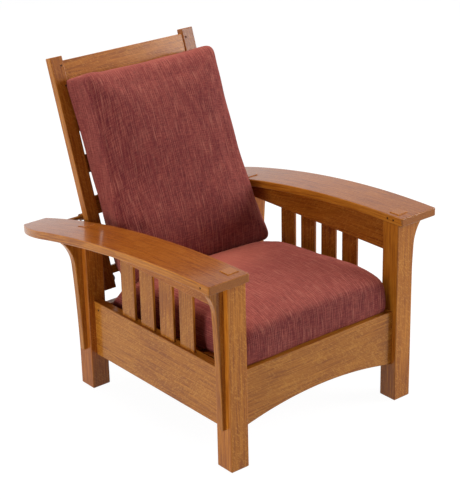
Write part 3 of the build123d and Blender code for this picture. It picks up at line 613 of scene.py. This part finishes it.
def cushion_form(cushion, warp):
    """The full form as a closed grid of quads: places, faces and the ring of the seam at the resting edge."""
    wide = round(2 * cushion["half"] / GRID)
    long = round((cushion["high"] - cushion["low"]) / GRID)
    # about as long as the line up the border and over the crown's edge
    border = cushion["shoulder"] + 1.4 * cushion["crown"] + cushion["reaches"][0] / 3
    levels = profile(cushion, round(border / GRID))
    top = len(levels) - 1
    places, index = [], {}

    def place_of(i, j, k):
        a, b = 2 * i / wide - 1, 2 * j / long - 1
        height, insets, drawn = levels[k]
        rim = max(abs(a), abs(b))
        corner = CORNER + cushion["crown_corner"] * (height / levels[top][0]) ** 2
        if rim == 1:
            return (*rim_place(a, b, cushion, insets, drawn, corner), height)
        middle = (cushion["low"] + insets[1] + cushion["high"] - insets[2]) / 2
        rim_x, rim_run = (0.0, middle)
        if rim > 1e-6:
            rim_x, rim_run = rim_place(a / rim, b / rim, cushion, insets, drawn, corner)
        if k:
            height += cushion["dome"] * (1 - rim ** 2)
        return rim_x * rim, middle + (rim_run - middle) * rim, height

    def corner_index(i, j, k):
        if (i, j, k) not in index:
            index[i, j, k] = len(places)
            places.append(warp(*place_of(i, j, k)))
        return index[i, j, k]

    faces = []

    def quad(corners, flip):
        picked = [corner_index(*corner) for corner in corners]
        faces.append(picked[::-1] if flip else picked)

    for k, flip in ((0, True), (top, False)):
        for i in range(wide):
            for j in range(long):
                quad([(i, j, k), (i + 1, j, k), (i + 1, j + 1, k), (i, j + 1, k)], flip)
    for k in range(top):
        for i in range(wide):
            for j, flip in ((0, False), (long, True)):
                quad([(i, j, k), (i + 1, j, k), (i + 1, j, k + 1), (i, j, k + 1)], flip)
        for j in range(long):
            for i, flip in ((0, True), (wide, False)):
                quad([(i, j, k), (i, j + 1, k), (i, j + 1, k + 1), (i, j, k + 1)], flip)
    ring = [(i, 0) for i in range(wide)] + [(wide, j) for j in range(long)]
    ring += [(i, long) for i in range(wide, 0, -1)] + [(0, j) for j in range(long, 0, -1)]
    return places, faces, [index[i, j, 0] for i, j in ring]


# The seat cushion rests on the front rail's top and falls to the rear. The back cushion leans on the
# stiles' front faces and starts at the hinge
COVER_GAP = 0.0003
deck_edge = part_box("front_rail")[1]
tilt = math.radians(BACK_LEAN)
SEAT.update({
    "name": "seat_cushion_cover", "node": "seat_cushion", "body": "seat_cushion", "warp": warp_seat,
    "origin": (0, deck_edge.y, deck_edge.z + COVER_GAP), "run": (0, 1, 0), "lean": -DECK_FALL,
    "border_run": "Y", "light_pool": SEAT_LIGHT_POOL, "wave_shift": 3.1,
})
BACK.update({
    "name": "back_cushion_cover", "node": "back_cushion", "body": "back_cushion", "warp": warp_back,
    "origin": (0, PIVOT.y - STILE_FRONT * math.cos(tilt), PIVOT.z + STILE_FRONT * math.sin(tilt)),
    "run": (0, 0, 1), "lean": -BACK_LEAN,
    "border_run": "Z", "light_pool": None, "wave_shift": 8.4,
})


def to_chair(cushion):
    """The matrix from a cushion's own places (X, run, height) to the chair's frame."""
    lean = Matrix.Rotation(math.radians(cushion["lean"]), 3, "X")
    run = lean @ Vector(cushion["run"])
    height = Vector((1, 0, 0)).cross(run)
    axes = Matrix((Vector((1, 0, 0)), run, height)).transposed()
    return Matrix.Translation(cushion["origin"]) @ axes.to_4x4()


def new_piece(name, mesh, cushion, material):
    piece = bpy.data.objects.new(name, mesh)
    bpy.context.scene.collection.objects.link(piece)
    mesh.materials.clear()
    mesh.materials.append(material)
    for polygon in mesh.polygons:
        polygon.use_smooth = True
    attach(piece, cushion["body"])
    return piece


def stuffed(cushion):
    """A cushion: the form, made a little smaller, puffed up by a cloth simulation and held near the form."""
    places, faces, ring = cushion_form(cushion, cushion["warp"])
    middle = Vector([sum(p[axis] for p in places) / len(places) for axis in range(3)])
    mesh = bpy.data.meshes.new(cushion["name"])
    mesh.from_pydata([middle + (Vector(p) - middle) * START_SCALE for p in places], [], faces)
    cloth = fabric(cushion["name"], -cushion["lean"], cushion["border_run"], cushion["light_pool"])
    piece = new_piece(cushion["name"], mesh, cushion, cloth)
    simulate(piece, ring)
    noise.seed_set(SWAY_SEED)
    shift = Vector((cushion["wave_shift"],) * 3)
    targets = [Vector(p) for p in places]
    normals = [Vector(v.normal) for v in piece.data.vertices]
    for vertex, target, normal in zip(piece.data.vertices, targets, normals):
        away = vertex.co - target
        cap = PUFF_CAP if away.dot(normal) > 0 else DRAW_CAP
        held = away / (1 + away.length / cap)
        wave = noise.noise_vector(target * SWAY_SCALE + shift) * SWAY
        vertex.co = target + held + wave
        vertex.co.z = max(vertex.co.z, 0.0)
    relax(piece, SMOOTHING)
    seam_places = [piece.data.vertices[i].co.copy() for i in ring]
    piece.data.transform(to_chair(cushion))
    subdivide = piece.modifiers.new("subdivide", "SUBSURF")
    subdivide.levels = subdivide.render_levels = 1
    settle(piece)
    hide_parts(cushion["node"])
    return piece, seam_places


def relax(piece, times):
    smooth = piece.modifiers.new("smooth", "SMOOTH")
    smooth.factor = 0.5
    smooth.iterations = times
    settle(piece)


def settle(piece):
    """Apply what the modifiers make of a piece."""
    graph = bpy.context.evaluated_depsgraph_get()
    mesh = bpy.data.meshes.new_from_object(piece.evaluated_get(graph))
    piece.modifiers.clear()
    old = piece.data
    piece.data = mesh
    bpy.data.meshes.remove(old)


def simulate(piece, ring):
    """Puff the cover up with pressure, with its seam held still."""
    group = piece.vertex_groups.new(name="seam")
    group.add(ring, 1.0, "REPLACE")
    cloth = piece.modifiers.new("cloth", "CLOTH")
    cloth.settings.vertex_group_mass = "seam"
    cloth.settings.use_pressure = True
    cloth.settings.uniform_pressure_force = PRESSURE
    cloth.settings.effector_weights.gravity = 0
    cloth.settings.tension_stiffness = STIFFNESS
    cloth.settings.compression_stiffness = STIFFNESS
    cloth.settings.bending_stiffness = BENDING
    scene = bpy.context.scene
    for step in range(1, LAST_FRAME + 1):
        scene.frame_set(step)
    settle(piece)
    scene.frame_set(1)


def press(lower, upper):
    """Let the lower cushion give way where the upper one rests on it."""
    corners = [vertex.co for vertex in upper.data.vertices]
    tree = BVHTree.FromPolygons(corners, [polygon.vertices for polygon in upper.data.polygons])
    up = Vector((0, 0, 1))
    for vertex in lower.data.vertices:
        hit = tree.ray_cast(vertex.co - up * PRESS_DEPTH, up, PRESS_DEPTH + PRESS_GAP)[0]
        if hit is not None:
            vertex.co.z = hit.z - PRESS_GAP


def seam(cushion, places, material):
    """A turned seam, a thin ridge of doubled cloth, along the edge where the cushion rests."""
    verts, faces = [], []
    count = len(places)
    up = Vector((0, 0, 1))
    for at, place in enumerate(places):
        ahead = (places[(at + 1) % count] - places[at - 1]).normalized()
        out = ahead.cross(up).normalized()
        puckers = 1 + PUCKER * math.sin(at * PUCKER_TURN)
        for turn in range(SEAM_SIDES):
            angle = 2 * math.pi * turn / SEAM_SIDES
            offset = out * (math.cos(angle) + 0.35) + up * (math.sin(angle) + 1.0)
            verts.append(place + offset * (SEAM_RADIUS * puckers))
    for at in range(count):
        here, there = at * SEAM_SIDES, (at + 1) % count * SEAM_SIDES
        for turn in range(SEAM_SIDES):
            after = (turn + 1) % SEAM_SIDES
            faces.append((here + turn, there + turn, there + after, here + after))
    name = f"{cushion['node']}_seam"
    mesh = bpy.data.meshes.new(name)
    mesh.from_pydata(verts, [], faces)
    mesh.transform(to_chair(cushion))
    new_piece(name, mesh, cushion, material)


# Stage, lamps and camera

FLOOR_HALF = 30.0
FLOOR_GREY = (0.6, 0.6, 0.6, 1)
FLOOR_GLOW = 0.8
FLOOR_WHITE = 1.2
WORLD_LEVEL = 0.15
WHITE = (1, 1, 1, 1)


def seen_directly(n, clamp=False):
    """1 for rays from the camera, from a mirror and through glass, and 0 for the light on the object."""
    rays = n.add("ShaderNodeLightPath").outputs
    others = n.math("ADD", rays["Is Glossy Ray"], rays["Is Transmission Ray"])
    return n.math("ADD", rays["Is Camera Ray"], others, clamp=clamp)


def stage():
    """A plain pale floor and a pale surround, both white to the camera and in reflections."""
    corners = [(x * FLOOR_HALF, y * FLOOR_HALF, 0) for x, y in ((-1, -1), (1, -1), (1, 1), (-1, 1))]
    mesh = bpy.data.meshes.new("floor")
    mesh.from_pydata(corners, [], [(0, 1, 2, 3)])
    floor = bpy.data.objects.new("floor", mesh)
    bpy.context.scene.collection.objects.link(floor)
    n = Nodes(bpy.data.materials.new("floor"))
    n.shade({"Base Color": FLOOR_GREY, "Roughness": 0.9, "Specular IOR Level": 0.1})
    glow = n.add("ShaderNodeEmission", {"Color": WHITE, "Strength": FLOOR_WHITE}).outputs[0]
    share = n.math("MULTIPLY", seen_directly(n), FLOOR_GLOW, clamp=True)
    blend = n.add("ShaderNodeMixShader", {0: share, 1: n.shader.outputs[0], 2: glow})
    n.put(n.tree.nodes["Material Output"].inputs["Surface"], blend.outputs[0])
    mesh.materials.append(n.owner)
    n = Nodes(bpy.data.worlds.new("surround"), "Background")
    levels = {"Value": seen_directly(n, clamp=True), "To Min": WORLD_LEVEL, "To Max": 1.0}
    n.shade({"Color": WHITE, "Strength": n.add("ShaderNodeMapRange", levels).outputs[0]})
    bpy.context.scene.world = n.owner


def lamp(name, place, aim, size, power, mirrored=True):
    """A soft square lamp that looks at a point. Gloss shows it only if it is mirrored."""
    light = bpy.data.lights.new(name, "AREA")
    light.size = size
    light.energy = power
    piece = bpy.data.objects.new(name, light)
    bpy.context.scene.collection.objects.link(piece)
    piece.visible_glossy = mirrored
    piece.location = place
    piece.rotation_euler = (Vector(aim) - Vector(place)).to_track_quat("-Z", "Y").to_euler()


def camera():
    """The camera at the picture's viewing angle."""
    data = bpy.data.cameras.new("camera")
    data.sensor_width = SENSOR
    data.lens = CAMERA_LENS
    data.clip_end = 100
    piece = bpy.data.objects.new("camera", data)
    bpy.context.scene.collection.objects.link(piece)
    axes = Matrix((CAMERA_RIGHT, CAMERA_UP, [-value for value in CAMERA_FORWARD])).transposed()
    piece.matrix_world = Matrix.Translation(CAMERA_PLACE) @ axes.to_4x4()
    bpy.context.scene.camera = piece


dress_cad()
covers = []
for cushion in (SEAT, BACK):
    cover, seam_places = stuffed(cushion)
    seam(cushion, seam_places, cover.data.materials[0])
    covers.append(cover)
press(*covers)
stage()
lamp("key", (4.2, -2.9, 2.2), aim=(0, 0, 0.5), size=2.8, power=225)
lamp("side", (-4.2, -0.3, 0.8), aim=(0, 0, 0.45), size=1.4, power=80, mirrored=False)
lamp("top", (-0.3, 1.1, 3.8), aim=(0, 0, 0.4), size=2.0, power=105, mirrored=False)
camera()
bpy.context.scene.view_settings.view_transform = "Standard"
